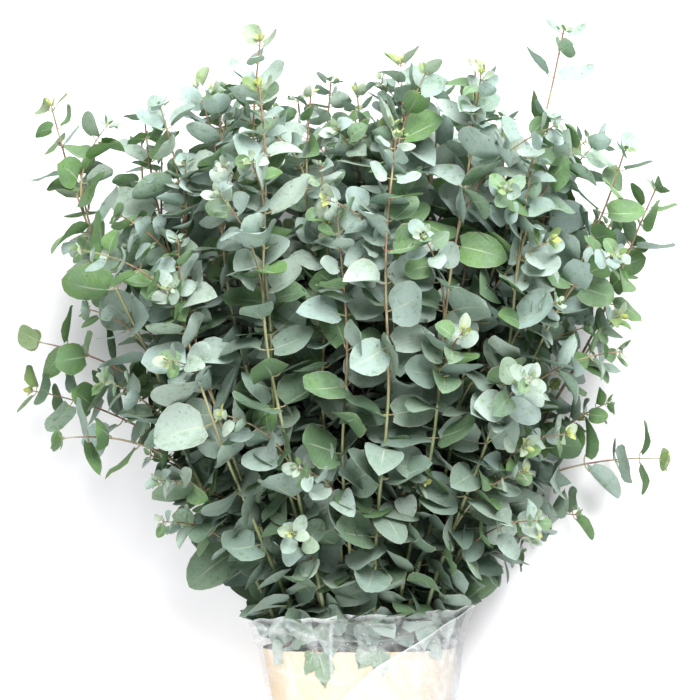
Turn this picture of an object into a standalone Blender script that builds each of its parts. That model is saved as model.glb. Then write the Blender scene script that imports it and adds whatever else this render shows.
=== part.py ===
"""A florist's bunch of silver-dollar eucalyptus branches, lying on its side.

Metres, +Z up. The bunch lies along Y: the cut ends are at -Y, the leafy tips at +Y, and the floor is z = 0.
Every branch is one grown piece: a stem with its leaves, and on some a side shoot. The branches are held by
a rubber tie band near the cut ends, by a wrap of corrugated card, and by a sleeve of clear film round both.
"""
import math
import random

import bmesh
import bpy
from mathutils import Vector
from mathutils.bvhtree import BVHTree

# ---- driving dimensions ------------------------------------------------------------------------------
BRANCHES = 38
UP = Vector((0, 0, 1))
GOLDEN_ANGLE = math.pi * (3 - math.sqrt(5))

# The bundle of stems at stations along the bunch: y, half width, half height, centre x, centre z.
BUNDLE = (
    (-0.130, 0.050, 0.0250, 0.0110, 0.0390),
    (-0.060, 0.071, 0.0325, 0.0125, 0.0460),
    (0.000, 0.086, 0.0385, 0.0120, 0.0520),
    (0.060, 0.095, 0.0430, 0.0090, 0.0565),
    (0.110, 0.116, 0.0520, 0.0070, 0.0680),
    (0.170, 0.150, 0.0630, 0.0040, 0.0860),
    (0.260, 0.198, 0.0820, 0.0000, 0.1100),
    (0.400, 0.244, 0.1020, 0.0000, 0.1340),
    (0.600, 0.270, 0.1120, 0.0000, 0.1500),
    (0.700, 0.276, 0.1140, 0.0000, 0.1540),
)
CUT_Y, CUT_SPREAD = -0.130, 0.008
STEM_R_CUT, STEM_R_TIP = 0.0033, 0.0010
SHOOT_R_BASE, SHOOT_R_TIP = 0.0014, 0.0009
WOBBLE, WOBBLE_LENGTH, WOBBLE_GROWS_Y = 0.005, 0.33, (0.08, 0.35)
LEAN_FROM_Y = 0.25
SLOPE_STEP = 0.002  # the step over which a stem's slope is measured
NODE_LENGTH = 0.0036  # the stretch of stem that a pair of leaves grows from

# Where the tips end: the crown's height in the middle, how much lower it is at the sides, and how much
# lower the branches of the upper face end, whose tips show over the deeper ones.
CROWN_Y, CROWN_FALL, FACE_FALL, TIP_JITTER = 0.612, 0.095, 0.12, 0.018
FACE_FALL_RANGE = (0.2, 1.6)

# The branches that stand out of the outline: branch number -> tip y, sideways lean, upward lean.
LEADERS = {
    14: (0.648, 0.008, 0.010),
    16: (0.660, 0.072, 0.020),
    17: (0.580, -0.020, 0.000),
    29: (0.545, 0.060, 0.010),
    30: (0.588, -0.062, 0.010),
    34: (0.512, 0.064, 0.000),
    9: (0.600, -0.010, 0.020),
    24: (0.622, 0.010, 0.000),
}
# Side shoots: branch number -> y where the shoot leaves the stem, and the x, y, z of its tip. A shoot
# follows the stem for the first share of its span, and is drawn towards its tip by the second share.
SHOOT_FOLLOW, SHOOT_DRAW = 0.22, 0.25
SHOOTS = {
    25: ((0.170, (-0.325, 0.308, 0.078)), (0.235, (-0.315, 0.358, 0.110))),
    33: ((0.235, (-0.262, 0.436, 0.060)),),
    26: ((0.130, (0.322, 0.238, 0.056)), (0.330, (0.288, 0.462, 0.080))),
    30: ((0.205, (-0.288, 0.262, 0.150)),),
    31: ((0.105, (0.236, 0.178, 0.034)),),
}

FIRST_PAIR_Y, FIRST_PAIR_SPREAD, PAIR_SPACING, SHOOT_PAIR_SPACING = 0.100, 0.070, 0.112, 0.052
PLAIN_RINGS_Y, TIP_BEYOND_PAIR = (-0.030, 0.050), 0.012
LEAF_LENGTH, LEAF_WIDTH_RATIO, LEAF_THICKNESS = 0.043, 0.88, 0.0008
LEAF_SIZE_RANGE = (0.90, 1.08)
TIP_SHRINK, SHRINK_FROM_Y, SHRINK_PAST_TIP = 0.45, 0.25, 0.05  # leaves get shorter towards the tip
PETIOLE_LENGTH, PETIOLE_WIDTH = 0.006, 0.0016
LEAF_SECTIONS = ((0.28, 0.94), (0.70, 0.82), (1.0, 0.26))  # along the blade, share of its width
OPEN_ANGLES = (55, 40, 72, 28)
TWISTS = (0, 35, -35, 70, -70, 90)
LEAF_CLEARANCE = 0.0008
BRANCH_SEED, LEAF_SEED = 100, 500

TIE_Y, TIE_WIDTH, TIE_WALL, TIE_GAP = -0.112, 0.008, 0.0020, 0.0040
WRAP_Y, WRAP_WALL, WRAP_GAP = (-0.092, 0.043), 0.0030, 0.0055
SLEEVE_WALL, SLEEVE_GAP = 0.0006, 0.0118
SLEEVE_FLARE, SLEEVE_TILT = 0.0045, 0.055
SLEEVE_ROWS = ((-0.102, 0), (-0.040, 0), (0.020, 0), (0.060, 0.5), (0.082, 1))  # y, share of the flare
WRAP_ROWS = 4
LOOP_SIDES, LOOP_POWER = 28, 2.5


def section_at(y):
    """The bundle's half width, half height, centre x and centre z at y, on a smooth curve."""
    rows = BUNDLE
    y = min(max(y, rows[0][0]), rows[-1][0])
    k = max(i for i in range(len(rows) - 1) if rows[i][0] <= y)
    span = rows[k + 1][0] - rows[k][0]
    s = (y - rows[k][0]) / span
    values = []
    for column in range(1, 5):
        slopes = []
        for i in (k, k + 1):
            low, high = max(i - 1, 0), min(i + 1, len(rows) - 1)
            slopes.append((rows[high][column] - rows[low][column]) / (rows[high][0] - rows[low][0]) * span)
        start, end = rows[k][column], rows[k + 1][column]
        values.append(
            start * (2 * s**3 - 3 * s**2 + 1) + slopes[0] * (s**3 - 2 * s**2 + s)
            + end * (3 * s**2 - 2 * s**3) + slopes[1] * (s**3 - s**2)
        )
    return values


def ease(value, low, high):
    s = min(max((value - low) / (high - low), 0), 1)
    return s * s * (3 - 2 * s)


class Branch:
    """Where one branch runs: its place in the bundle, its two ends, its wobble and its lean."""

    def __init__(self, number):
        chance = random.Random(BRANCH_SEED + number)
        radius = math.sqrt((number + 0.5) / BRANCHES)
        self.u = radius * math.cos(number * GOLDEN_ANGLE)
        self.v = radius * math.sin(number * GOLDEN_ANGLE)
        self.cut_y = CUT_Y + CUT_SPREAD * chance.random()
        self.phases = (chance.uniform(0, 2 * math.pi), chance.uniform(0, 2 * math.pi))
        self.roll = chance.uniform(0, math.pi / 2)
        face = max(self.v, 0) * FACE_FALL * chance.uniform(*FACE_FALL_RANGE)
        crown = CROWN_Y - CROWN_FALL * abs(self.u) ** 3 - face + TIP_JITTER * chance.uniform(-1, 1)
        self.tip_y, self.lean_x, self.lean_z = LEADERS.get(number, (crown, 0, 0))
        self.first_pair_y = FIRST_PAIR_Y + FIRST_PAIR_SPREAD * chance.random()

    def point(self, y):
        width, height, centre_x, centre_z = section_at(y)
        wobble = WOBBLE * ease(y, *WOBBLE_GROWS_Y)
        lean = ease(y, LEAN_FROM_Y, 2 * self.tip_y - LEAN_FROM_Y) * 2  # reaches 1 at the tip
        return Vector((
            centre_x + self.u * width + self.lean_x * lean
            + wobble * math.sin(2 * math.pi * y / WOBBLE_LENGTH + self.phases[0]),
            y,
            centre_z + self.v * height + self.lean_z * lean
            + wobble * math.sin(2 * math.pi * y / WOBBLE_LENGTH + self.phases[1]),
        ))

    def tangent(self, y):
        return (self.point(y + SLOPE_STEP) - self.point(y - SLOPE_STEP)).normalized()


def ring(point, tangent, radius, roll):
    """Four corners round point, in an order whose face would look back along the tangent."""
    side = tangent.cross(UP).normalized()
    lift = side.cross(tangent)
    angles = [roll + math.pi / 4 + k * math.pi / 2 for k in range(4)]
    return [point + radius * (math.cos(a) * side + math.sin(a) * lift) for a in angles]


def bridge(bm, first, corners):
    """Extends the open ring of vertices to new ones at corners. Gives the new ring and its side faces."""
    second = [bm.verts.new(c) for c in corners]
    count = len(first)
    faces = []
    for i in range(count):
        j = (i + 1) % count
        faces.append(bm.faces.new((first[i], second[i], second[j], first[j])))
    return second, faces


def grow_stem(bm, start_ring, stations):
    """Extends a four-sided stem through stations of (point, tangent, radius, roll, is_node).

    Gives, for each node, the four side faces that its pair of leaves can grow from, its point and tangent.
    """
    nodes = []
    current = start_ring
    for point, tangent, radius, roll, is_node in stations:
        if not is_node:
            current, _ = bridge(bm, current, ring(point, tangent, radius, roll))
            continue
        half = tangent * NODE_LENGTH / 2
        current, _ = bridge(bm, current, ring(point - half, tangent, radius, roll))
        current, faces = bridge(bm, current, ring(point + half, tangent, radius, roll))
        nodes.append((faces, point.copy(), tangent.copy()))
    bm.faces.new(list(reversed(current)))
    return nodes


def leaf_corners(root, direction, normal, length, spare):
    """The rings of a leaf from its petiole's end to its tip, each as four corners, thicker by spare."""
    across = direction.cross(normal)
    width = length * LEAF_WIDTH_RATIO
    sizes = [(PETIOLE_LENGTH, PETIOLE_WIDTH)]
    for along, share in LEAF_SECTIONS:
        sizes.append((PETIOLE_LENGTH + along * (length - PETIOLE_LENGTH), share * width))
    rings = []
    for number, (along, wide) in enumerate(sizes):
        reach = along + (spare if number == len(sizes) - 1 else 0)
        middle = root + direction * reach
        a = across * (wide / 2 + spare)
        n = normal * (LEAF_THICKNESS / 2 + spare)
        rings.append([middle + a + n, middle - a + n, middle - a - n, middle + a - n])
    return rings


def tree_of(rings):
    """A search tree of the closed body through the rings."""
    points = [corner for one in rings for corner in one]
    polygons = [(0, 1, 2, 3), tuple(len(points) - 4 + k for k in range(4))]
    for row in range(len(rings) - 1):
        for i in range(4):
            j = (i + 1) % 4
            polygons.append((row * 4 + i, row * 4 + 4 + i, row * 4 + 4 + j, row * 4 + j))
    return BVHTree.FromPolygons(points, polygons)


def grow_leaf(bm, face, tangent, length, own_stem, others, leaves, chance):
    """Grows a leaf out of a stem's face, turned so that it is clear of all the rest. False if it can't be."""
    root = face.calc_center_median()
    outward = (face.normal - tangent * face.normal.dot(tangent)).normalized()
    current = list(reversed(face.verts))
    foot = [vertex.co.copy() for vertex in current]
    first = foot[0] - root
    sign = chance.choice((1, -1))
    for open_angle in OPEN_ANGLES:
        a = math.radians(open_angle)
        direction = outward * math.sin(a) + tangent * math.cos(a)
        flat = tangent * math.sin(a) - outward * math.cos(a)
        for twist in TWISTS:
            b = math.radians(sign * twist)
            normal = flat * math.cos(b) + direction.cross(flat) * math.sin(b)
            rings = leaf_corners(root, direction, normal, length, LEAF_CLEARANCE)
            if min(corner.z for one in rings for corner in one) < LEAF_CLEARANCE:
                continue
            if tree_of(rings).overlap(own_stem):
                continue
            turn = math.atan2(first.dot(normal), first.dot(direction.cross(normal))) - math.pi / 4
            shift = round(turn / (math.pi / 2)) % 4
            tree = tree_of([foot] + [corners[shift:] + corners[:shift] for corners in rings])
            if any(tree.overlap(other) for other in others):
                continue
            middle = root + direction * length / 2
            near = (t for t, centre, reach in leaves if (centre - middle).length < reach + length)
            if any(tree.overlap(other) for other in near):
                continue
            bm.faces.remove(face)
            for corners in leaf_corners(root, direction, normal, length, 0):
                current, _ = bridge(bm, current, corners[shift:] + corners[:shift])
            bm.faces.new(list(reversed(current)))
            leaves.append((tree, middle, length))
            return True
    return False


def stem_stations(branch):
    """The main stem from its cut end to its tip: plain rings low down, then a node for each leaf pair."""
    def radius(y):
        share = (y - CUT_Y) / (branch.tip_y - CUT_Y)
        return STEM_R_CUT + (STEM_R_TIP - STEM_R_CUT) * share

    first, last = branch.first_pair_y, branch.tip_y - TIP_BEYOND_PAIR
    pairs = max(round((last - first) / PAIR_SPACING), 2)
    rows = [(y, False) for y in PLAIN_RINGS_Y]
    rows += [(first + (last - first) * k / pairs, True) for k in range(pairs + 1)]
    rows.append((branch.tip_y, False))
    start = ring(branch.point(branch.cut_y), branch.tangent(branch.cut_y), STEM_R_CUT, branch.roll)
    stations = [(branch.point(y), branch.tangent(y), radius(y), branch.roll, node) for y, node in rows]
    return start, stations


def shoot_stations(leave, tangent, tip, roll):
    """A side shoot on a curve that leaves the stem and bends outwards to its tip."""
    span = (tip - leave).length
    bend = leave + tangent * span * SHOOT_FOLLOW + (tip - leave) * SHOOT_DRAW
    count = max(round(span / SHOOT_PAIR_SPACING), 2)
    stations = []
    for k in range(1, count + 1):
        s = k / count
        point = leave * (1 - s) ** 2 + bend * 2 * s * (1 - s) + tip * s**2
        heading = ((bend - leave) * (1 - s) + (tip - bend) * s).normalized()
        radius = SHOOT_R_BASE + (SHOOT_R_TIP - SHOOT_R_BASE) * s
        stations.append((point, heading, radius, roll, True))
    last = stations[-1]
    stations.append((last[0] + last[1] * TIP_BEYOND_PAIR, last[1], SHOOT_R_TIP, roll, False))
    return stations


def face_towards(faces, direction):
    return max(faces, key=lambda f: f.normal.dot(direction))


def material(name, colour, roughness, alpha=1.0):
    made = bpy.data.materials.new(name)
    made.use_nodes = True
    shader = made.node_tree.nodes["Principled BSDF"]
    shader.inputs["Base Color"].default_value = (*colour, 1)
    shader.inputs["Roughness"].default_value = roughness
    shader.inputs["Metallic"].default_value = 0
    shader.inputs["Alpha"].default_value = alpha
    return made


def object_of(name, bm, finish):
    bmesh.ops.recalc_face_normals(bm, faces=bm.faces)
    mesh = bpy.data.meshes.new(name)
    bm.to_mesh(mesh)
    bm.free()
    mesh.materials.append(finish)
    made = bpy.data.objects.new(name, mesh)
    bpy.context.scene.collection.objects.link(made)
    return made


def loop_points(y, gap, flare=0.0, tilt=0.0):
    """A rounded, flattened loop round the bundle at y, gap outside the stems' centres."""
    width, height, centre_x, centre_z = section_at(y)
    points = []
    for k in range(LOOP_SIDES):
        angle = 2 * math.pi * k / LOOP_SIDES
        c, s = math.cos(angle), math.sin(angle)
        reach = (abs(c) ** LOOP_POWER + abs(s) ** LOOP_POWER) ** (-1 / LOOP_POWER)
        x = centre_x + (width + gap + flare) * reach * c
        z = centre_z + (height + gap) * reach * s
        points.append(Vector((x, y + tilt * x, z)))
    return points


def tube(name, stations, wall, finish):
    """A tube with a wall, open at both ends. stations are (y, gap, flare, tilt) of its inner face."""
    bm = bmesh.new()
    inner = [loop_points(y, gap, flare, tilt) for y, gap, flare, tilt in stations]
    outer = [loop_points(y, gap + wall, flare, tilt) for y, gap, flare, tilt in stations]
    first = current = [bm.verts.new(p) for p in inner[0]]
    for points in inner[1:] + outer[::-1]:
        current, _ = bridge(bm, current, points)
    for i in range(LOOP_SIDES):
        j = (i + 1) % LOOP_SIDES
        bm.faces.new((current[i], first[i], first[j], current[j]))
    return object_of(name, bm, finish)


# ---- the model ---------------------------------------------------------------------------------------
for old in list(bpy.data.objects):
    bpy.data.objects.remove(old, do_unlink=True)

branches = [Branch(number) for number in range(BRANCHES)]
meshes, all_nodes = [], []
for number, branch in enumerate(branches):
    bm = bmesh.new()
    start, stations = stem_stations(branch)
    start_ring = [bm.verts.new(p) for p in start]
    bm.faces.new(start_ring)
    nodes = grow_stem(bm, start_ring, stations)
    bm.normal_update()
    for leave_y, tip in SHOOTS.get(number, ()):
        faces, point, tangent = nodes.pop(min(range(len(nodes)), key=lambda k: abs(nodes[k][1].y - leave_y)))
        face = face_towards(faces, Vector(tip) - point)
        leave = face.calc_center_median()
        base = list(reversed(face.verts))
        bm.faces.remove(face)
        shoot = shoot_stations(leave, tangent, Vector(tip), branch.roll)
        nodes += grow_stem(bm, base, shoot)
        bm.normal_update()
    meshes.append(bm)
    all_nodes.append(nodes)

leaf_green = material("glaucous leaf", (0.36, 0.46, 0.38), 0.6)
sleeve_film = material("clear film", (0.92, 0.95, 0.95), 0.15, alpha=0.3)
kraft = material("kraft card", (0.60, 0.47, 0.31), 0.85)
band_rubber = material("band rubber", (0.62, 0.42, 0.22), 0.6)

sleeve_stations = [(y, SLEEVE_GAP, SLEEVE_FLARE * share, SLEEVE_TILT * share) for y, share in SLEEVE_ROWS]
solids = [tube("sleeve", sleeve_stations, SLEEVE_WALL, sleeve_film)]
wrap_rows = [WRAP_Y[0] + (WRAP_Y[1] - WRAP_Y[0]) * k / (WRAP_ROWS - 1) for k in range(WRAP_ROWS)]
solids.append(tube("card_wrap", [(y, WRAP_GAP, 0, 0) for y in wrap_rows], WRAP_WALL, kraft))
tie_rows = (TIE_Y - TIE_WIDTH / 2, TIE_Y + TIE_WIDTH / 2)
solids.append(tube("tie_band", [(y, TIE_GAP, 0, 0) for y in tie_rows], TIE_WALL, band_rubber))

stem_trees = [BVHTree.FromBMesh(bm) for bm in meshes]
tube_trees = []
for solid in solids:
    surface = [v.co for v in solid.data.vertices]
    tube_trees.append(BVHTree.FromPolygons(surface, [p.vertices for p in solid.data.polygons]))

leaves = []
for number, (branch, bm, nodes) in enumerate(zip(branches, meshes, all_nodes)):
    chance = random.Random(LEAF_SEED + number)
    others = stem_trees[:number] + stem_trees[number + 1:] + tube_trees
    for index, (faces, point, tangent) in enumerate(nodes):
        share = ease(point.y, SHRINK_FROM_Y, branch.tip_y + SHRINK_PAST_TIP)
        length = LEAF_LENGTH * (1 - TIP_SHRINK * share) * chance.uniform(*LEAF_SIZE_RANGE)
        for face in (faces[index % 2], faces[index % 2 + 2]):
            if face.is_valid:
                grow_leaf(bm, face, tangent, length, stem_trees[number], others, leaves, chance)
    solids.append(object_of(f"branch_{number + 1:02d}", bm, leaf_green))

corners = [v.co for solid in solids for v in solid.data.vertices]
lowest = Vector([min(c[k] for c in corners) for k in range(3)])
highest = Vector([max(c[k] for c in corners) for k in range(3)])
for solid in solids:
    solid.location = (-(lowest.x + highest.x) / 2, -(lowest.y + highest.y) / 2, -lowest.z)
    triangles = sum(len(p.vertices) - 2 for p in solid.data.polygons)
    print(solid.name, triangles, "triangles")
print(len(leaves), "leaves; box from", tuple(lowest), "to", tuple(highest))
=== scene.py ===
import math
import random

import bpy
import numpy as np
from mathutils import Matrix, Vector, kdtree


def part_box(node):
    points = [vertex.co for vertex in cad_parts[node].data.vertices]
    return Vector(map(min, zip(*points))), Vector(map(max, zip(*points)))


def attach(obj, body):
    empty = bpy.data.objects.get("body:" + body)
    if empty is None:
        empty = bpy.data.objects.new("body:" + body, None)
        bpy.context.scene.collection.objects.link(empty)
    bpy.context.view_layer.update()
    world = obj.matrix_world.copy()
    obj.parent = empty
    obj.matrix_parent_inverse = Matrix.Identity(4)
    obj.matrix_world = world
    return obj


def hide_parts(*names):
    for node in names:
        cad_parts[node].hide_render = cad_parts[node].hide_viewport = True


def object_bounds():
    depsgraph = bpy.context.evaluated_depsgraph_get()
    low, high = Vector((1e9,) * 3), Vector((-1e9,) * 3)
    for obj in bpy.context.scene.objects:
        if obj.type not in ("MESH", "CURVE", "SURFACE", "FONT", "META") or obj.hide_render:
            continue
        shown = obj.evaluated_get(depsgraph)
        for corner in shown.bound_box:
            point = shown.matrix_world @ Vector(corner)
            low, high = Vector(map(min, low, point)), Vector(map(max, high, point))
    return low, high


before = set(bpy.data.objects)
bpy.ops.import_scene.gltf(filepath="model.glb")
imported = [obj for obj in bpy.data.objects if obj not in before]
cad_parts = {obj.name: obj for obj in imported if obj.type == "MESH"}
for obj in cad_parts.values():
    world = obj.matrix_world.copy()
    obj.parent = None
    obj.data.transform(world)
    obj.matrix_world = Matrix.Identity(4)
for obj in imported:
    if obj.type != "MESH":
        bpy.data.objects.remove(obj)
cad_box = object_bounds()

# ---- Stems ---------------------------------------------------------------------------------------------
# Every branch is a woody stem that runs from its cut end, through the tie, the wrap and the sleeve, out
# into the fan, with side twigs. Green to red-brown smooth bark; the cut end shows pale wood and pith.
# Stems and twigs are tapered tubes, one per run, and are joined with their leaves in the next section.
BRANCHES = 38
BUNDLE = (  # y, half width, half height, centre x, centre z of the bundle of stems
    (-0.130, 0.050, 0.0250, 0.0110, 0.0390),
    (-0.060, 0.071, 0.0325, 0.0125, 0.0460),
    (0.000, 0.086, 0.0385, 0.0120, 0.0520),
    (0.060, 0.095, 0.0430, 0.0090, 0.0565),
    (0.110, 0.116, 0.0520, 0.0070, 0.0680),
    (0.170, 0.150, 0.0630, 0.0040, 0.0860),
    (0.260, 0.198, 0.0820, 0.0000, 0.1100),
    (0.400, 0.244, 0.1020, 0.0000, 0.1340),
    (0.600, 0.270, 0.1120, 0.0000, 0.1500),
    (0.700, 0.276, 0.1140, 0.0000, 0.1540),
)
CUT_Y, CUT_SPREAD = -0.130, 0.008
CROWN_Y, CROWN_FALL, FACE_FALL, TIP_JITTER = 0.612, 0.095, 0.12, 0.018
WOBBLE, WOBBLE_LENGTH = 0.005, 0.33
LEADERS = {  # branch, counted from 0: y of its tip, and how far the tip leans in x and z
    14: (0.648, 0.008, 0.010),
    16: (0.660, 0.072, 0.020),
    17: (0.580, -0.020, 0.000),
    29: (0.545, 0.060, 0.010),
    30: (0.588, -0.062, 0.010),
    34: (0.512, 0.064, 0.000),
    9: (0.600, -0.010, 0.020),
    24: (0.622, 0.010, 0.000),
}
SHOOTS = {  # branch: for each long shoot, y where it leaves the stem, and its tip
    25: ((0.170, (-0.325, 0.308, 0.078)), (0.235, (-0.315, 0.358, 0.110))),
    33: ((0.235, (-0.262, 0.436, 0.060)),),
    26: ((0.130, (0.322, 0.238, 0.056)), (0.330, (0.288, 0.462, 0.080))),
    30: ((0.205, (-0.288, 0.262, 0.150)),),
    31: ((0.105, (0.236, 0.178, 0.034)),),
}
STEM_R_CUT, STEM_R_TIP, STEM_THINS = 0.0033, 0.0009, 0.68
SHOOT_R_BASE, TWIG_R_BASE, TWIG_R_TIP = 0.0019, 0.0014, 0.0006
TWIG_SPACING, TWIG_FIRST_Y, TWIG_TURN = 0.085, 0.110, math.radians(137.5)
TWIG_SHORTEST, TWIG_LONGEST, TWIG_LOWEST_Z = 0.075, 0.150, 0.022
STEM_POINTS, SHOOT_POINTS, TWIG_POINTS = 46, 16, 12
STEM_BARE, SHOOT_BARE, TWIG_BARE = 0.176, 0.030, 0.020  # the length from the base that carries no leaves
TIE_Y = -0.112


def section_at(y):
    rows = BUNDLE
    y = min(max(y, rows[0][0]), rows[-1][0])
    k = max(i for i in range(len(rows) - 1) if rows[i][0] <= y)
    span = rows[k + 1][0] - rows[k][0]
    s = (y - rows[k][0]) / span
    values = []
    for column in range(1, 5):
        slopes = []
        for i in (k, k + 1):
            low, high = max(i - 1, 0), min(i + 1, len(rows) - 1)
            slopes.append((rows[high][column] - rows[low][column]) / (rows[high][0] - rows[low][0]) * span)
        start, end = rows[k][column], rows[k + 1][column]
        values.append(
            start * (2 * s**3 - 3 * s**2 + 1) + slopes[0] * (s**3 - 2 * s**2 + s)
            + end * (3 * s**2 - 2 * s**3) + slopes[1] * (s**3 - s**2)
        )
    return values


def ease(value, low, high):
    s = min(max((value - low) / (high - low), 0), 1)
    return s * s * (3 - 2 * s)


tie_low, tie_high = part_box("tie_band")
_, _, tie_x, tie_z = section_at(TIE_Y)
SHIFT = (tie_low + tie_high) / 2 - Vector((tie_x, TIE_Y, tie_z))


class Branch:
    def __init__(self, number):
        chance = random.Random(100 + number)
        radius = math.sqrt((number + 0.5) / BRANCHES)
        angle = number * math.pi * (3 - math.sqrt(5))
        self.u, self.v = radius * math.cos(angle), radius * math.sin(angle)
        self.cut_y = CUT_Y + CUT_SPREAD * chance.random()
        self.phases = (chance.uniform(0, 2 * math.pi), chance.uniform(0, 2 * math.pi))
        self.roll = chance.uniform(0, math.pi / 2)
        face = max(self.v, 0) * FACE_FALL * chance.uniform(0.2, 1.6)
        crown = CROWN_Y - CROWN_FALL * abs(self.u) ** 3 - face + TIP_JITTER * chance.uniform(-1, 1)
        self.tip_y, self.lean_x, self.lean_z = LEADERS.get(number, (crown, 0, 0))

    def point(self, y):
        width, height, centre_x, centre_z = section_at(y)
        wobble = WOBBLE * ease(y, 0.08, 0.35)
        lean = ease(y, 0.25, 2 * self.tip_y - 0.25) * 2
        return SHIFT + Vector((
            centre_x + self.u * width + self.lean_x * lean
            + wobble * math.sin(2 * math.pi * y / WOBBLE_LENGTH + self.phases[0]),
            y,
            centre_z + self.v * height + self.lean_z * lean
            + wobble * math.sin(2 * math.pi * y / WOBBLE_LENGTH + self.phases[1]),
        ))

    def tangent(self, y):
        return (self.point(y + 0.002) - self.point(y - 0.002)).normalized()


class Run:
    """One stem or twig: its points, radii and headings, where its leaves begin and how large they get."""

    def __init__(self, points, radius_base, radius_tip, leaf_from, leaf_size, roll, main):
        self.points = points
        count = len(points)
        thins = STEM_THINS if main else 1.0
        shares = [(k / (count - 1)) ** thins for k in range(count)]
        self.radii = [radius_base + (radius_tip - radius_base) * share for share in shares]
        self.tangents = [
            (points[min(k + 1, count - 1)] - points[max(k - 1, 0)]).normalized() for k in range(count)
        ]
        self.leaf_from, self.leaf_size, self.roll, self.main = leaf_from, leaf_size, roll, main
        steps = [(points[k + 1] - points[k]).length for k in range(count - 1)]
        self.along = [sum(steps[:k]) for k in range(count)]
        self.length = self.along[-1]
        self.pair_gap, self.tip_leaf = PAIR_GAP, TIP_LEAF

    def at(self, distance):
        k = max(i for i in range(len(self.along) - 1) if self.along[i] <= max(distance, 0))
        s = (distance - self.along[k]) / (self.along[k + 1] - self.along[k])
        return (
            self.points[k].lerp(self.points[k + 1], s),
            self.tangents[k].lerp(self.tangents[k + 1], s).normalized(),
            self.radii[k] + (self.radii[k + 1] - self.radii[k]) * s,
        )


def curved(start, heading, end, count):
    """A path that sets off along the heading and bends over to its end."""
    bend = start + heading * (end - start).length * 0.48 + (end - start) * 0.06
    rows = [k / (count - 1) for k in range(count)]
    return [start * (1 - s) ** 2 + bend * 2 * s * (1 - s) + end * s**2 for s in rows]


MAIN_LEAF, SHOOT_LEAF, TWIG_LEAF, PAIR_GAP = 0.0415, 0.040, 0.036, 0.76
TIP_LEAF, LEADER_TIP_LEAF, SHOOT_TIP_LEAF = 0.0140, 0.0210, 0.0270
SPARSE_SPRIG, SPARSE_FROM_Y, SPARSE_GAP = 16, 0.50, 0.98  # one long open sprig stands out at the top
TOP_Z, LEFT_X, RIGHT_X = cad_box[1].z - 0.004, -0.284, 0.268
# Twigs that stand out of the crown or hang at its side: branch, y where each leaves it, its tip.
OUTER_TWIGS = {
    3: ((0.50, (0.050, 0.634, 0.170)),),
    11: ((0.47, (0.074, 0.620, 0.205)),),
    22: ((0.44, (-0.186, 0.588, 0.190)),),
    9: ((0.49, (-0.152, 0.610, 0.160)),),
    30: ((0.44, (-0.266, 0.528, 0.175)), (0.48, (-0.238, 0.572, 0.180))),
    37: ((0.42, (0.232, 0.556, 0.185)),),
    26: ((0.46, (0.250, 0.560, 0.120)),),
    31: ((0.090, (0.176, 0.136, 0.040)),),
}
# The upper face is more open in its middle: few twigs grow there, and dark depth shows between the stems.
OPEN_HALF_X, OPEN_Y, OPEN_SHARE = 0.17, (0.17, 0.45), 0.86
branches = [Branch(number) for number in range(BRANCHES)]
runs_of = []
for number, branch in enumerate(branches):
    chance = random.Random(900 + number)
    grown_y = branch.tip_y - branch.cut_y
    ys = [branch.cut_y + grown_y * k / (STEM_POINTS - 1) for k in range(STEM_POINTS)]
    large = MAIN_LEAF * chance.uniform(0.86, 1.22)
    main = Run([branch.point(y) for y in ys], STEM_R_CUT, STEM_R_TIP, STEM_BARE, large, branch.roll, True)
    if number == SPARSE_SPRIG:
        main.pair_gap = SPARSE_GAP
    if number in LEADERS:
        main.tip_leaf = LEADER_TIP_LEAF
    runs = [main]
    for leave_y, tip in SHOOTS.get(number, ()):
        path = curved(branch.point(leave_y), branch.tangent(leave_y), SHIFT + Vector(tip), SHOOT_POINTS)
        roll = chance.uniform(0, 1.5)
        runs.append(Run(path, SHOOT_R_BASE, TWIG_R_TIP, SHOOT_BARE, SHOOT_LEAF, roll, False))
        runs[-1].tip_leaf = SHOOT_TIP_LEAF
    for leave_y, tip in OUTER_TWIGS.get(number, ()):
        path = curved(branch.point(leave_y), branch.tangent(leave_y), SHIFT + Vector(tip), TWIG_POINTS)
        roll = chance.uniform(0, 1.5)
        runs.append(Run(path, TWIG_R_BASE, TWIG_R_TIP, TWIG_BARE, SHOOT_LEAF, roll, False))
        runs[-1].tip_leaf = LEADER_TIP_LEAF
    y = TWIG_FIRST_Y + chance.uniform(0, TWIG_SPACING)
    side_angle = chance.uniform(0, 2 * math.pi)
    while y < min(branch.tip_y - 0.085, SPARSE_FROM_Y if number == SPARSE_SPRIG else 1):
        start, heading = branch.point(y), branch.tangent(y)
        side_angle += TWIG_TURN
        spin = Vector((math.cos(side_angle), 0, math.sin(side_angle)))
        aim = (Vector((branch.u * 1.1, 0, branch.v * 1.2 + 0.15)) + spin * 0.75).normalized()
        length = chance.uniform(TWIG_SHORTEST, TWIG_LONGEST)
        end = start + heading * length * chance.uniform(0.50, 0.86)
        end += aim * length * chance.uniform(0.42, 0.72)
        end.z = min(max(end.z, TWIG_LOWEST_Z), TOP_Z)
        end.x = min(max(end.x, LEFT_X), RIGHT_X)
        end_x, end_y = end.x - SHIFT.x, end.y - SHIFT.y
        crown = CROWN_Y + (0.010 if end_x > 0 else -0.018) - CROWN_FALL * abs(end_x / 0.27) ** 3
        opened = branch.v > 0.1 and abs(end_x) < OPEN_HALF_X and OPEN_Y[0] < end_y < OPEN_Y[1]
        if end_y < min(crown, branch.tip_y + 0.02) and not (opened and chance.random() < OPEN_SHARE):
            path = curved(start, heading, end, TWIG_POINTS)
            size = TWIG_LEAF * chance.uniform(0.80, 1.22)
            roll = chance.uniform(0, 1.5)
            runs.append(Run(path, TWIG_R_BASE, TWIG_R_TIP, TWIG_BARE, size, roll, False))
        y += TWIG_SPACING * chance.uniform(0.75, 1.3)
    runs_of.append(runs)

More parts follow.
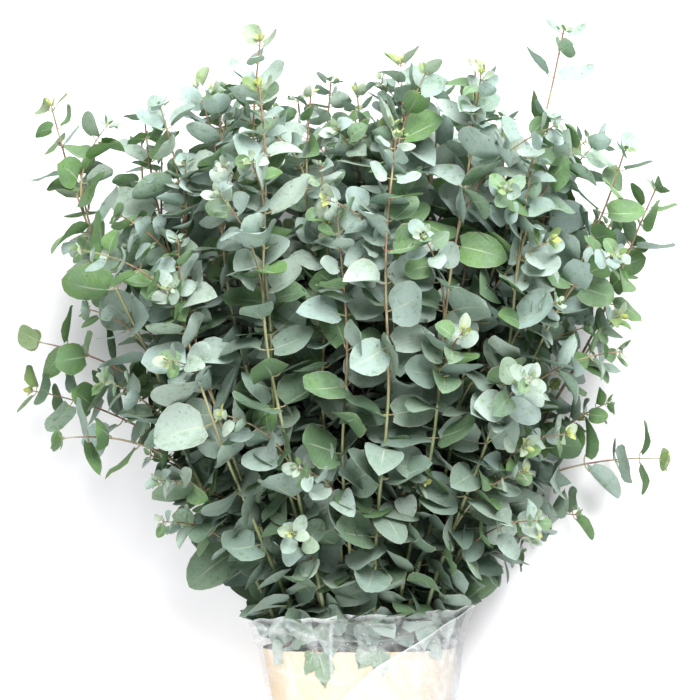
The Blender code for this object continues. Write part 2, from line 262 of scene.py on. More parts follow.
# ---- Leaves --------------------------------------------------------------------------------------------
# Opposite pairs of round, heart-based leaves on short stalks, each pair turned a quarter from the last:
# thin, stiff, waxy grey-green blades with a thin pink-brown rim, smaller towards each tip's yellow bud.
# One blade with its stalk is modelled once, and every leaf is a copy bent and turned in its own way.
BLADE_COLUMNS, BLADE_ROWS = 4, 8
LEAF_THICKNESS = 0.00045
STALK_R = 0.00055

bpy.ops.object.select_all(action="DESELECT")
bpy.ops.mesh.primitive_grid_add(x_subdivisions=BLADE_COLUMNS, y_subdivisions=BLADE_ROWS, size=2)
blade = bpy.context.object
blade.name = "leaf_blade_pattern"
bpy.ops.object.mode_set(mode="EDIT")
for end in (-1, 1):  # the first and last rows each close to a point
    bpy.ops.mesh.select_all(action="DESELECT")
    bpy.ops.object.mode_set(mode="OBJECT")
    for vertex in blade.data.vertices:
        vertex.select = abs(vertex.co.y - end) < 1e-4
    bpy.ops.object.mode_set(mode="EDIT")
    bpy.ops.mesh.merge(type="CENTER")
bpy.ops.mesh.select_all(action="DESELECT")
bpy.ops.object.mode_set(mode="OBJECT")
for vertex in blade.data.vertices:
    vertex.select = abs(vertex.co.x) < 0.99 and abs(vertex.co.y) < 0.99
bpy.ops.object.mode_set(mode="EDIT")
bpy.ops.transform.translate(value=(0, 0, 1))
bpy.ops.mesh.select_all(action="SELECT")
bpy.ops.mesh.duplicate()
bpy.ops.transform.resize(value=(1, 1, -1), center_override=(0, 0, 0))
bpy.ops.mesh.select_all(action="SELECT")
bpy.ops.mesh.remove_doubles(threshold=1e-4)
bpy.ops.mesh.normals_make_consistent(inside=False)
bpy.ops.object.mode_set(mode="OBJECT")

pattern = np.array([v.co for v in blade.data.vertices])
pattern_faces = [tuple(p.vertices) for p in blade.data.polygons]
bpy.data.objects.remove(blade)
# the rows follow the outline's curve, so they stand closer together at the base and the tip
row_share = (1 - np.cos(np.pi * (pattern[:, 1] + 1) / 2)) / 2
across, along, thick = pattern[:, 0], row_share, pattern[:, 2]
BLADE_POINTS = len(pattern)
# the stalk: three rings of four round its middle line
stalk_rows = np.repeat([0.0, 0.5, 1.0], 4)
stalk_turn = np.tile(np.arange(4) * np.pi / 2, 3)
stalk_faces = [(3, 2, 1, 0), (8, 9, 10, 11)]
for row in range(2):
    for k in range(4):
        j = (k + 1) % 4
        stalk_faces.append((row * 4 + k, row * 4 + j, row * 4 + 4 + j, row * 4 + 4 + k))
leaf_faces = pattern_faces + [tuple(BLADE_POINTS + i for i in face) for face in stalk_faces]
LEAF_POINTS = BLADE_POINTS + 12


class Leaf:
    """One leaf: where its stalk leaves the stem, how it points and bends, its size and its tint."""

    def __init__(self, root, direction, normal, length, width, stalk, chance, tint):
        self.root, self.direction, self.normal = root, direction, normal
        self.length, self.width, self.stalk, self.tint = length, width, stalk, tint
        self.fold = math.tan(math.radians(chance.uniform(2, 24)))
        self.curl = chance.choice((1, 1, -1)) * chance.uniform(0.05, 0.95)
        self.cup = chance.uniform(-0.6, 0.9)
        self.wave, self.wave_phase = chance.uniform(0.0, 0.06), chance.uniform(0, 6.28)
        self.skew = chance.uniform(-0.12, 0.12)
        self.notch = chance.uniform(0.05, 0.16)
        self.point = max(0.0, chance.gauss(0.025, 0.03))
        self.taper = chance.uniform(0.0, 0.24)


def leaf_points(leaf):
    """The leaf's points in the frame, blade first and then stalk."""
    s = along
    spread = np.sqrt(np.clip(1 - (2 * s**0.80 - 1) ** 2, 0, 1)) * (1 - leaf.taper * s**2.5)
    x = across * spread * leaf.width / 2
    y = s * leaf.length
    y = y - leaf.notch * leaf.length * np.abs(across) * (1 - s) ** 4
    y = y + leaf.point * leaf.length * np.clip((s - 0.8) / 0.2, 0, 1) ** 2 * (1 - np.abs(across)) ** 0.5
    x = x + leaf.skew * leaf.width * np.sin(np.pi * s) * 0.5
    bend = leaf.curl * y / leaf.length
    reach = y * np.sinc(bend / np.pi)
    rise = y * np.sin(bend / 2) * np.sinc(bend / 2 / np.pi)
    rise = rise + leaf.fold * np.abs(x) + leaf.cup * x**2 / leaf.width
    rise = rise + leaf.wave * leaf.length * np.abs(across) ** 2 * np.sin(8 * s + leaf.wave_phase + across)
    rise = rise + thick * LEAF_THICKNESS / 2
    side = leaf.direction.cross(leaf.normal)
    base = np.array(leaf.root + leaf.direction * leaf.stalk)
    d, n, w = np.array(leaf.direction), np.array(leaf.normal), np.array(side)
    blade_part = base + np.outer(reach, d) + np.outer(rise, n) + np.outer(x, w)
    middle = np.outer(stalk_rows * (leaf.stalk + 0.05 * leaf.length), d)
    sag = np.outer(-0.12 * leaf.stalk * np.sin(np.pi * stalk_rows), n)
    radius = STALK_R * (0.6 + leaf.length / 0.06)
    ring = radius * (np.outer(np.cos(stalk_turn), w) + np.outer(np.sin(stalk_turn), -n))
    stalk_part = np.array(leaf.root) + middle + sag + ring
    return np.concatenate([blade_part, stalk_part])


# Leaves keep out of each other: each is taken as a flat disc, and of several ways that it could turn,
# the one is kept whose disc cuts the fewest discs already placed.
CELL = 0.048
DISC_SHARE, CROWDED = 0.46, 1.7  # a disc's radius, and the cut at which a leaf is left out, per leaf length
grid = {}


def near_discs(middle):
    cx, cy, cz = (int(math.floor(c / CELL)) for c in middle)
    found = []
    for ix in (cx - 1, cx, cx + 1):
        for iy in (cy - 1, cy, cy + 1):
            for iz in (cz - 1, cz, cz + 1):
                found += grid.get((ix, iy, iz), ())
    return np.array(found) if found else None


def clash(middle, normal, radius, discs):
    """How long the cuts are between a disc and each of the discs near it, added up, in metres."""
    if discs is None:
        return 0.0
    m, n = np.array(middle), np.array(normal)
    other, other_n, other_r = discs[:, 0:3], discs[:, 3:6], discs[:, 6]
    line = np.cross(n, other_n)
    size2 = (line**2).sum(1)
    ok = size2 > 1e-4
    size2 = np.where(ok, size2, 1.0)
    h1, h2 = m @ n, (other * other_n).sum(1)
    point = (np.cross(other_n, line) * h1 + np.cross(line, n) * h2[:, None]) / size2[:, None]
    unit = line / np.sqrt(size2)[:, None]
    t1, t2 = ((m - point) * unit).sum(1), ((other - point) * unit).sum(1)
    d1 = ((m - point) ** 2).sum(1) - t1**2
    d2 = ((other - point) ** 2).sum(1) - t2**2
    half1 = np.sqrt(np.clip(radius**2 - d1, 0, None))
    half2 = np.sqrt(np.clip(other_r**2 - d2, 0, None))
    cut = np.minimum(t1 + half1, t2 + half2) - np.maximum(t1 - half1, t2 - half2)
    return float(np.where(ok & (half1 > 0) & (half2 > 0), np.clip(cut, 0, None), 0).sum())


CARD_TOP_Y = 0.050
BOX_LOW = Vector(cad_box[0]) - Vector((0.014, 0.014, 0.0))
BOX_HIGH = Vector(cad_box[1]) + Vector((0.014, 0.014, 0.010))
FLOOR_GAP = 0.0008
leaves_of = [[] for _ in range(BRANCHES)]
TRIES, GROWN = 9, 0.25
OPENING, YOUNG_CLOSES = 72, 42  # degrees from the twig to a grown leaf, and how far a bud leaf closes
FLOOR_COST, BOX_COST, CARD_COST, GOOD_ENOUGH = 6, 0.5, 4, 0.001


def tint_of(point, stage, chance):
    """Three shares, each 0 to 1: how mint rather than blue the bloom is; how green the leaf, raised towards
    the sides partly as painted light shining through the leaves from behind and partly as their own greener
    colour; and its age: 1 is a yellow leaf of a bud, a quarter a grown one and 0 an old one, painted dull
    and dark, partly its own duller colour and partly painted shade deep inside the bunch."""
    x, y = point.x - SHIFT.x, point.y - SHIFT.y
    mint = chance.random() - 0.45 * ease(x, 0.0, 0.22) * ease(y, 0.25, 0.45)
    # greener towards the sides: partly painted light shining through the leaves from behind, partly their own
    # greener colour
    edge = ease(abs(x), 0.16, 0.30)
    green = chance.random() ** 1.3 + 0.46 * edge
    return max(mint, 0.0), min(green, 1.0), GROWN + (1 - GROWN if stage > 0 else GROWN) * stage


def place_leaf(number, point, tangent, radius, outward, length, stage, chance):
    """Turns a new leaf this way and that and keeps the best place for it. Stage runs from old to young."""
    best, young = None, max(stage, 0.0)
    _, _, axis_x, axis_z = section_at(point.y - SHIFT.y)
    away = Vector((point.x - SHIFT.x - axis_x, 0, (point.z - SHIFT.z - axis_z) * 1.6))
    away = away.normalized() if away.length > 1e-4 else Vector((0, 0, 1))
    stalk = (0.0025 + 0.10 * length) * chance.uniform(0.8, 1.3)
    width = length * (chance.uniform(0.80, 1.04) - 0.28 * young)
    for attempt in range(TRIES):
        widen = attempt / TRIES
        opening = math.radians(chance.gauss(OPENING - YOUNG_CLOSES * young, 9 + 14 * widen))
        turn = chance.gauss(0, 0.15 + 0.5 * widen)
        side = tangent.cross(outward)
        out = outward * math.cos(turn) + side * math.sin(turn)
        direction = (out * math.sin(opening) + tangent * math.cos(opening)).normalized()
        wanted = tangent * 0.8 + away * chance.uniform(0.2, 1.2) * (1 - 0.6 * young)
        wanted += Vector((chance.gauss(0, 1), chance.gauss(0, 1), chance.gauss(0, 1))) * (0.30 + 0.2 * widen)
        normal = wanted - direction * wanted.dot(direction)
        if normal.length < 0.05:
            continue
        normal.normalize()
        root = point + out * radius * 0.6
        middle = root + direction * (stalk + length / 2)
        cost = clash(middle, normal, length * DISC_SHARE, near_discs(middle)) + 0.004 * widen
        side_reach = direction.cross(normal) * width / 2
        ends = [root + direction * (stalk + length), middle + side_reach, middle - side_reach]
        for end in ends:
            if end.z < FLOOR_GAP:
                cost += (FLOOR_GAP - end.z) * FLOOR_COST
            for k in range(3):
                if end[k] < BOX_LOW[k] or end[k] > BOX_HIGH[k]:
                    cost += BOX_COST if k < 2 or end[k] > BOX_HIGH[k] else 0
            if end.y - SHIFT.y < CARD_TOP_Y:
                cost += (CARD_TOP_Y - (end.y - SHIFT.y)) * CARD_COST
        if best is None or cost < best[0]:
            best = (cost, root, direction, normal, middle)
            if cost < GOOD_ENOUGH:
                break
    if best is None or best[0] > length * CROWDED:
        return
    _, root, direction, normal, middle = best
    tint = tint_of(point, stage, chance)
    leaves_of[number].append(Leaf(root, direction, normal, length, width, stalk, chance, tint))
    key = tuple(int(math.floor(c / CELL)) for c in middle)
    grid.setdefault(key, []).append((*middle, *normal, length * DISC_SHARE))


# From each tip downwards: a bud of tiny yellow leaves, then pairs that get larger and further apart.
LEAF_GROWTH, BUDDING = 0.27, 0.30
BUD_PAIRS = ((0.0, 0.0055, 1.0), (0.0012, 0.0085, 0.9))  # distance from the tip, leaf length, how young
for number, runs in enumerate(runs_of):
    chance = random.Random(3000 + number)
    for run in runs:
        budding = chance.random() < BUDDING
        left, turn = 0.0035, run.roll
        pairs = [(row[0], row[1], row[2] if budding else 0.3) for row in BUD_PAIRS]
        while left < run.length - run.leaf_from:
            length = min(run.leaf_size, run.tip_leaf + LEAF_GROWTH * left) * chance.uniform(0.86, 1.12)
            pairs.append((left, length, max(0.0, (0.40 if budding else 0.15) - left / 0.045)))
            left += length * run.pair_gap * chance.uniform(0.85, 1.15)
        for left, length, young in pairs:
            point, tangent, radius = run.at(run.length - left)
            side = tangent.cross(Vector((0, 0, 1)))
            side = side.normalized() if side.length > 1e-3 else Vector((1, 0, 0))
            lift = side.cross(tangent)
            out = side * math.cos(turn) + lift * math.sin(turn)
            # leaves far down a main stem count as old and are painted dark: partly their duller colour,
            # partly painted shade deep inside the bunch
            stage = young - (ease(left, 0.10, 0.30) * chance.uniform(0.5, 0.95) if run.main else 0.0)
            for sign in (1, -1):
                place_leaf(number, point, tangent, radius, out * sign, length, stage, chance)
            turn += math.pi / 2 + chance.gauss(0, 0.12)

# Leaves of the lowest front pairs hang down between the card and the film.
TUCKED = (  # branch, y where the stalk leaves it, x and y of the blade's tip, length, width, mint, green
    (27, 0.050, -0.0190, 0.0095, 0.032, 0.019, 0.5, 0.75),
    (27, 0.050, -0.0370, 0.0215, 0.024, 0.017, 0.4, 0.80),
    (32, 0.052, 0.0130, 0.0335, 0.025, 0.024, 0.5, 0.70),
    (32, 0.050, 0.0310, 0.0220, 0.027, 0.021, 0.6, 0.60),
    (35, 0.058, -0.0930, 0.0310, 0.030, 0.026, 0.9, 0.10),
    (37, 0.056, 0.0950, 0.0370, 0.028, 0.024, 0.7, 0.20),
    (19, 0.078, 0.0020, 0.0560, 0.023, 0.022, 0.8, 0.30),
    (27, 0.074, -0.0150, 0.0400, 0.030, 0.027, 0.1, 0.20),
    (32, 0.088, 0.0440, 0.0600, 0.031, 0.026, 0.5, 0.40),
    (24, 0.074, 0.0620, 0.0480, 0.027, 0.024, 0.2, 0.20),
    (14, 0.072, -0.0520, 0.0450, 0.028, 0.025, 0.1, 0.30),
    (22, 0.086, -0.0780, 0.0450, 0.030, 0.027, 0.4, 0.30),
    (35, 0.094, -0.0440, 0.0540, 0.031, 0.028, 0.2, 0.20),
    (19, 0.092, 0.0240, 0.0450, 0.030, 0.028, 0.1, 0.30),
    (37, 0.088, 0.0780, 0.0460, 0.031, 0.028, 0.3, 0.30),
    (29, 0.090, 0.1000, 0.0560, 0.029, 0.026, 0.6, 0.30),
)
for number, root_y, tip_x, tip_y, length, width, mint, green in TUCKED:
    root = branches[number].point(root_y)
    tip = Vector((SHIFT.x + tip_x, SHIFT.y + tip_y, root.z + 0.006))
    direction = (tip - root).normalized()
    side = direction.cross(Vector((0, 0, 1))).normalized()
    stalk = max((tip - root).length - length, 0.003)
    chance = random.Random(int(4000 + 1000 * tip_x + 100 * number))
    leaf = Leaf(root, direction, side.cross(direction), length, width, stalk, chance, (mint, green, GROWN))
    leaf.curl, leaf.fold, leaf.cup, leaf.taper = -0.2, 0.08, 0.05, 0.35
    leaf.point = 0.12
    leaves_of[number].append(leaf)

# The film presses the leaves inside it against the bundle, and lets them spread above its edge.
LOOP_POWER = 2.5
SLEEVE_LOW_Y, SLEEVE_TOP_Y, SLEEVE_FLARE, SLEEVE_TILT = -0.102, 0.082, 0.0045, 0.055
WRAP_GAP, WRAP_WALL, FILM_GAP = 0.0055, 0.0030, 0.0112
WRAP_LOW_Y, WRAP_TOP_Y = -0.092, 0.043
PRESS_END_Y, PRESS_RELEASE = 0.125, 9.0
section_ys = np.linspace(-0.13, PRESS_END_Y + 0.02, 60)
section_rows = np.array([section_at(y) for y in section_ys])


def loop_norm(across, up):
    return (np.abs(across) ** LOOP_POWER + np.abs(up) ** LOOP_POWER) ** (1 / LOOP_POWER)


def press(points, between):
    """Keeps points inside the film, and those between card and film outside the card too."""
    low = points[:, 1] - SHIFT.y < PRESS_END_Y
    if not low.any():
        return points
    part = points[low]
    y = part[:, 1] - SHIFT.y
    width, height, centre_x, centre_z = (np.interp(y, section_ys, section_rows[:, k]) for k in range(4))
    x, z = part[:, 0] - SHIFT.x - centre_x, part[:, 2] - SHIFT.z - centre_z
    edge_y = SLEEVE_TOP_Y + SLEEVE_TILT * x - 0.004
    gap = FILM_GAP - 0.0012 + np.clip(y - edge_y, 0, None) ** 1.2 * PRESS_RELEASE
    scale = 1 / np.maximum(loop_norm(x / (width + gap), z / (height + gap)), 1)
    if between:
        gap = WRAP_GAP + WRAP_WALL + 0.0008
        norm = loop_norm(x / (width + gap), z / (height + gap))
        over_card = (y < WRAP_TOP_Y + 0.003) & (norm < 1) & (norm > 0.6)
        scale = np.where(over_card, 1 / norm, scale)
    part[:, 0] = SHIFT.x + centre_x + x * scale
    part[:, 2] = SHIFT.z + centre_z + z * scale
    points[low] = part
    return points


class Wire:
    """A shader socket that takes part in Python sums."""

    def __init__(self, tree, socket):
        self.tree, self.socket = tree, socket

    def math(self, operation, *others):
        node = self.tree.nodes.new("ShaderNodeMath")
        node.operation = operation
        for slot, value in zip(node.inputs, (self, *others)):
            if isinstance(value, Wire):
                self.tree.links.new(value.socket, slot)
            else:
                slot.default_value = value
        return Wire(self.tree, node.outputs[0])

    def __add__(self, other):
        return self.math("ADD", other)

    __radd__ = __add__

    def __mul__(self, other):
        return self.math("MULTIPLY", other)

    __rmul__ = __mul__

    def __sub__(self, other):
        return self.math("SUBTRACT", other)

    def __rsub__(self, other):
        return (self * -1) + other

    def ramp(self, low, high):
        """0 below low, 1 above high, smooth between."""
        node = self.tree.nodes.new("ShaderNodeMapRange")
        node.interpolation_type = "SMOOTHSTEP"
        self.tree.links.new(self.socket, node.inputs["Value"])
        node.inputs["From Min"].default_value = low
        node.inputs["From Max"].default_value = high
        return Wire(self.tree, node.outputs["Result"])


class Paint:
    """A material's node tree, with one method that makes any node."""

    def __init__(self, name):
        self.material = bpy.data.materials.new(name)
        self.material.use_nodes = True
        self.tree = self.material.node_tree
        self.tree.nodes.clear()

    def node(self, kind, settings=None, outlet=0, **sockets):
        made = self.tree.nodes.new("ShaderNode" + kind)
        for key, value in (settings or {}).items():
            setattr(made, key, value)
        for key, value in sockets.items():
            slot = made.inputs[int(key[1:])] if key[0] == "_" else made.inputs[key.replace("_", " ")]
            if isinstance(value, Wire):
                self.tree.links.new(value.socket, slot)
            else:
                slot.default_value = value
        return Wire(self.tree, made.outputs[outlet])

    def noise(self, place, scale, detail=3, roughness=0.5):
        return self.node("TexNoise", Vector=place, Scale=scale, Detail=detail, Roughness=roughness)

    def mix(self, share, first, second):
        first = first if isinstance(first, Wire) else (*first, 1)
        second = second if isinstance(second, Wire) else (*second, 1)
        return self.node("Mix", {"data_type": "RGBA"}, 2, _0=share, _6=first, _7=second)

    def shares(self, attribute, count):
        """The first channels of a colour attribute."""
        node = self.tree.nodes.new("ShaderNodeSeparateColor")
        self.tree.links.new(self.node("Attribute", {"attribute_name": attribute}).socket, node.inputs[0])
        return [Wire(self.tree, node.outputs[k]) for k in range(count)]

    def finish(self, shader):
        out = self.tree.nodes.new("ShaderNodeOutputMaterial")
        self.tree.links.new(shader.socket, out.inputs["Surface"])
        return self.material


BLOOM_LIGHT, BLOOM_BLUE = (0.49, 0.59, 0.51), (0.39, 0.515, 0.48)
LEAF_GREEN, LEAF_DEEP = (0.135, 0.275, 0.065), (0.145, 0.26, 0.12)
LEAF_YOUNG, RIM_PALE, RIB_PALE = (0.50, 0.55, 0.15), (0.60, 0.50, 0.38), (0.52, 0.60, 0.42)
SPECK_BROWN, LEAF_SHADOW, LEAF_OLD_AND_SHADE = (0.16, 0.10, 0.06), (0.13, 0.19, 0.12), (0.095, 0.165, 0.10)
paint = Paint("waxy leaf")
place = paint.node("TexCoord", outlet=3)
uv = paint.node("UVMap", {"uv_map": "leaf"})
u, v = (paint.node("SeparateXYZ", Vector=uv, outlet=k) for k in (0, 1))
light, green, stage = paint.shares("tint", 3)
young, old_and_shaded = stage.ramp(GROWN, 1.0), stage.ramp(GROWN, 0.0)
from_rib = (u - 0.5).math("ABSOLUTE") * 2
broad = paint.noise(place, 45.0, 3)
fine = paint.noise(place, 320.0, 4, 0.6)
smudge = paint.noise(place, 130.0, 4, 0.65)
bloom = paint.mix(light, BLOOM_BLUE, BLOOM_LIGHT)
bare = paint.mix(broad.ramp(0.35, 0.65), LEAF_GREEN, LEAF_DEEP)
# bare green where the bloom is rubbed off; on leaves at the sides it is also painted light shining through
# from behind
bare_share = green.ramp(0.42, 0.95) * 0.88 + broad.ramp(0.48, 0.72) * 0.30 + fine.ramp(0.50, 0.70) * 0.26
bare_share = bare_share + smudge.ramp(0.52, 0.70) * 0.42
bare_share = bare_share.math("MINIMUM", 1.0)
colour = paint.mix(bare_share, bloom, bare)
colour = paint.mix(young * 0.85, colour, LEAF_YOUNG)
veins = ((v * 9.0 - from_rib * 3.2).math("FRACT") - 0.5).math("ABSOLUTE").ramp(0.06, 0.0)
rib = from_rib.ramp(0.055, 0.01) * v.ramp(1.0, 0.35)
# old leaves darkened: partly their duller colour, partly painted shade deep inside the bunch
colour = paint.mix(old_and_shaded * 0.60, colour, LEAF_OLD_AND_SHADE)
colour = paint.mix(smudge.ramp(0.60, 0.74) * 0.30, colour, LEAF_SHADOW)
colour = paint.mix(veins * 0.22, colour, RIB_PALE)
colour = paint.mix(rib * 0.7, colour, RIB_PALE)
colour = paint.mix(from_rib.ramp(0.94, 0.99) * (0.15 + broad.ramp(0.4, 0.7) * 0.5), colour, RIM_PALE)
specks = paint.noise(place, 210.0, 1).ramp(0.735, 0.76)
colour = paint.mix(specks * 0.8, colour, SPECK_BROWN)
rough = 0.52 + fine * 0.16
height = veins * -0.25 + rib * -0.6 + fine * 0.4
bump = paint.node("Bump", Strength=0.35, Distance=0.0004, Height=height)
skin = paint.node(
    "BsdfPrincipled", Base_Color=colour, Roughness=rough, Normal=bump, Specular_IOR_Level=0.42
)
glow = paint.node("BsdfTranslucent", Color=paint.mix(0.75, colour, (0.30, 0.46, 0.10)))
leaf_skin = paint.finish(paint.node("MixShader", _0=0.22, _1=skin, _2=glow))

BARK_GREEN, BARK_STRAW = (0.22, 0.28, 0.12), (0.34, 0.34, 0.17)
BARK_RED, BARK_GREY = (0.22, 0.10, 0.07), (0.27, 0.25, 0.18)
paint = Paint("smooth bark")
place = paint.node("TexCoord", outlet=3)
red, age = paint.shares("tint", 2)
streaks = paint.noise(paint.node("Mapping", Vector=place, Scale=(1, 0.12, 1)), 420.0, 3)
blotch = paint.noise(place, 60.0, 3)
colour = paint.mix(age.ramp(0.05, 0.45), BARK_GREY, BARK_GREEN)
colour = paint.mix(age.ramp(0.35, 0.8), colour, BARK_STRAW)
colour = paint.mix(red.ramp(0.45, 0.8) * blotch.ramp(0.25, 0.6) * 0.9, colour, BARK_RED)
colour = paint.mix(streaks.ramp(0.5, 0.75) * 0.35, colour, (0.55, 0.55, 0.42))
bump = paint.node("Bump", Strength=0.5, Distance=0.0003, Height=streaks)
bark = paint.finish(
    paint.node("BsdfPrincipled", Base_Color=colour, Roughness=0.5 + streaks * 0.2, Normal=bump)
)

paint = Paint("cut wood")
place = paint.node("TexCoord", outlet=3)
rings = paint.noise(place, 900.0, 3)
colour = paint.mix(rings.ramp(0.35, 0.7), (0.52, 0.46, 0.28), (0.66, 0.60, 0.42))
cut_wood = paint.finish(paint.node("BsdfPrincipled", Base_Color=colour, Roughness=0.8))

for number, (branch, runs) in enumerate(zip(branches, runs_of)):
    chance = random.Random(7000 + number)
    name = f"branch_{number + 1:02d}"
    # the stem and its twigs as one bevelled curve, each run a spline with its own taper
    line = bpy.data.curves.new(name + "_stems", "CURVE")
    line.dimensions, line.bevel_depth, line.bevel_resolution, line.use_fill_caps = "3D", 1.0, 1, True
    paths = kdtree.KDTree(sum(len(run.points) for run in runs))
    facts = []
    for run in runs:
        spline = line.splines.new("POLY")
        spline.points.add(len(run.points) - 1)
        for k, (point, radius) in enumerate(zip(run.points, run.radii)):
            swell = 1 + 0.06 * math.sin(k * 2.3)
            spline.points[k].co = (*point, 1)
            spline.points[k].radius = radius * swell
            paths.insert(point, len(facts))
            share = k / (len(run.points) - 1)
            facts.append((0.85 * share**2 if run.main else 0.45 + 0.4 * share, share if run.main else 0.7))
    paths.balance()
    redness = [chance.uniform(0, 0.25) if branch.v > 0 else chance.uniform(0, 0.6)] * len(facts)
    stems = bpy.data.objects.new(name + "_stems", line)
    bpy.context.scene.collection.objects.link(stems)
    bpy.ops.object.select_all(action="DESELECT")
    stems.select_set(True)
    bpy.context.view_layer.objects.active = stems
    bpy.ops.object.convert(target="MESH")
    bpy.ops.object.mode_set(mode="EDIT")
    bpy.ops.mesh.select_mode(type="VERT")
    bpy.ops.mesh.select_all(action="SELECT")
    bpy.ops.mesh.remove_doubles(threshold=1e-5)
    bpy.ops.mesh.select_mode(type="FACE")
    bpy.ops.mesh.select_all(action="DESELECT")
    bpy.ops.object.mode_set(mode="OBJECT")
    stems = bpy.context.object
    mesh = stems.data
    mesh.materials.clear()
    for finish in (bark, cut_wood, leaf_skin):
        mesh.materials.append(finish)
    for face in mesh.polygons:
        face.select = face.normal.y < -0.9 and face.center.y < branch.point(branch.cut_y + 0.003).y
    bpy.ops.object.mode_set(mode="EDIT")
    bpy.ops.mesh.select_mode(type="FACE")
    bpy.ops.mesh.inset(thickness=0.0007)
    bpy.ops.object.mode_set(mode="OBJECT")
    for face in mesh.polygons:
        face.material_index = 1 if face.select else 0
    tints = mesh.attributes.new("tint", "FLOAT_COLOR", "POINT")
    values = np.zeros((len(mesh.vertices), 4), np.float32)
    for vertex in mesh.vertices:
        index = paths.find(vertex.co)[1]
        values[vertex.index] = (facts[index][0] + redness[index], facts[index][1], 0, 1)
    tints.data.foreach_set("color", values.ravel())

    # its leaves, as copies of the one pattern
    crowd = leaves_of[number]
    tucked = sum(row[0] == number for row in TUCKED)
    grown = [leaf_points(leaf) for leaf in crowd]
    parts = [press(one, k >= len(crowd) - tucked) for k, one in enumerate(grown)]
    points = np.concatenate(parts)
    points[:, 2] = np.maximum(points[:, 2], FLOOR_GAP / 2)
    faces = [tuple(i + k * LEAF_POINTS for i in face) for k in range(len(crowd)) for face in leaf_faces]
    foliage_mesh = bpy.data.meshes.new(name)
    foliage_mesh.from_pydata(points.tolist(), [], faces)
    for finish in (bark, cut_wood, leaf_skin):
        foliage_mesh.materials.append(finish)
    blade_faces = len(pattern_faces)
    kinds = np.array(([2] * blade_faces + [0] * len(stalk_faces)) * len(crowd), np.int32)
    foliage_mesh.polygons.foreach_set("material_index", kinds)
    one_uv = np.zeros((LEAF_POINTS, 2))
    one_uv[:BLADE_POINTS, 0] = 0.5 + across / 2
    one_uv[:BLADE_POINTS, 1] = along
    corner_points = np.zeros(len(foliage_mesh.loops), np.int32)
    foliage_mesh.loops.foreach_get("vertex_index", corner_points)
    uv_map = foliage_mesh.uv_layers.new(name="leaf")
    uv_map.uv.foreach_set("vector", one_uv[corner_points % LEAF_POINTS].astype(np.float32).ravel())
    tints = foliage_mesh.attributes.new("tint", "FLOAT_COLOR", "POINT")
    values = np.zeros((len(crowd), LEAF_POINTS, 4), np.float32)
    for k, leaf in enumerate(crowd):
        values[k, :BLADE_POINTS] = (*leaf.tint, 1)
        values[k, BLADE_POINTS:] = (0.45 + 0.3 * leaf.tint[0], 0.75, GROWN, 1)
    tints.data.foreach_set("color", values.ravel())
    foliage = bpy.data.objects.new(name + "_foliage", foliage_mesh)
    bpy.context.scene.collection.objects.link(foliage)

    bpy.ops.object.select_all(action="DESELECT")
    stems.select_set(True)
    foliage.select_set(True)
    bpy.context.view_layer.objects.active = foliage
    bpy.ops.object.join()
    piece = bpy.context.object
    piece.name = "leafy_" + name
    bpy.ops.object.shade_smooth_by_angle(angle=math.radians(70))
    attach(piece, "root")
    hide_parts(name)

# ---- Tie band ------------------------------------------------------------------------------------------
# A tan rubber band wound three times round the stems just above their cut ends, before anything else goes
# on. It stretches over the outer stems, and its turns lie side by side, each a little askew.
def loop_place(angle, y, gap, flare=0.0, tilt=0.0):
    """A point on the rounded, flattened loop round the bundle at y, gap outside the stems' centres."""
    width, height, centre_x, centre_z = section_at(y)
    c, s = math.cos(angle), math.sin(angle)
    reach = (abs(c) ** LOOP_POWER + abs(s) ** LOOP_POWER) ** (-1 / LOOP_POWER)
    x = centre_x + (width + gap + flare) * reach * c
    return SHIFT + Vector((x, y + tilt * x, centre_z + (height + gap) * reach * s))


# the angles that cut the loop into equal lengths, as a table from share of the girth to angle
angle_steps = np.linspace(0, 2 * math.pi, 721)
loop_line = np.array([loop_place(a, 0.0, WRAP_GAP) for a in angle_steps])
arc = np.concatenate([[0], np.cumsum(np.linalg.norm(np.diff(loop_line, axis=0), axis=1))])
GIRTH, arc_share = arc[-1], arc / arc[-1]


def angle_at(share):
    return float(np.interp(share % 1.0, arc_share, angle_steps)) + 2 * math.pi * math.floor(share)


def round_bundle(name, sides, rows, place, wall):
    """A tube with a wall: a ring extruded row by row, drawn onto place(share of the girth, share of rows)."""
    bpy.ops.object.select_all(action="DESELECT")
    bpy.ops.mesh.primitive_circle_add(vertices=sides, radius=1, rotation=(math.pi / 2, 0, 0))
    made = bpy.context.object
    made.name = name
    bpy.ops.object.transform_apply(location=True, rotation=True, scale=True)
    bpy.ops.object.mode_set(mode="EDIT")
    bpy.ops.mesh.select_mode(type="VERT")
    bpy.ops.mesh.select_all(action="SELECT")
    for _ in range(rows):
        bpy.ops.mesh.extrude_region_move(TRANSFORM_OT_translate={"value": (0, 1, 0)})
    bpy.ops.mesh.select_all(action="SELECT")
    bpy.ops.mesh.normals_make_consistent(inside=False)
    bpy.ops.object.mode_set(mode="OBJECT")
    for vertex in made.data.vertices:
        share = math.atan2(vertex.co.z, vertex.co.x) / (2 * math.pi) % 1.0
        vertex.co = place(share, vertex.co.y / rows)
    modifier = made.modifiers.new("wall", "SOLIDIFY")
    modifier.thickness, modifier.offset = wall, 0
    bpy.ops.object.modifier_apply(modifier=modifier.name)
    return made


def joined(pieces, name, finish):
    """One piece from several, with one finish."""
    bpy.ops.object.select_all(action="DESELECT")
    for part in pieces:
        part.select_set(True)
    bpy.context.view_layer.objects.active = pieces[0]
    if len(pieces) > 1:
        bpy.ops.object.join()
    made = bpy.context.object
    made.name = name
    made.data.materials.clear()
    made.data.materials.append(finish)
    return made


TURN_WIDTH, TURN_PITCH, RUBBER_WALL = 0.0023, 0.0028, 0.0015
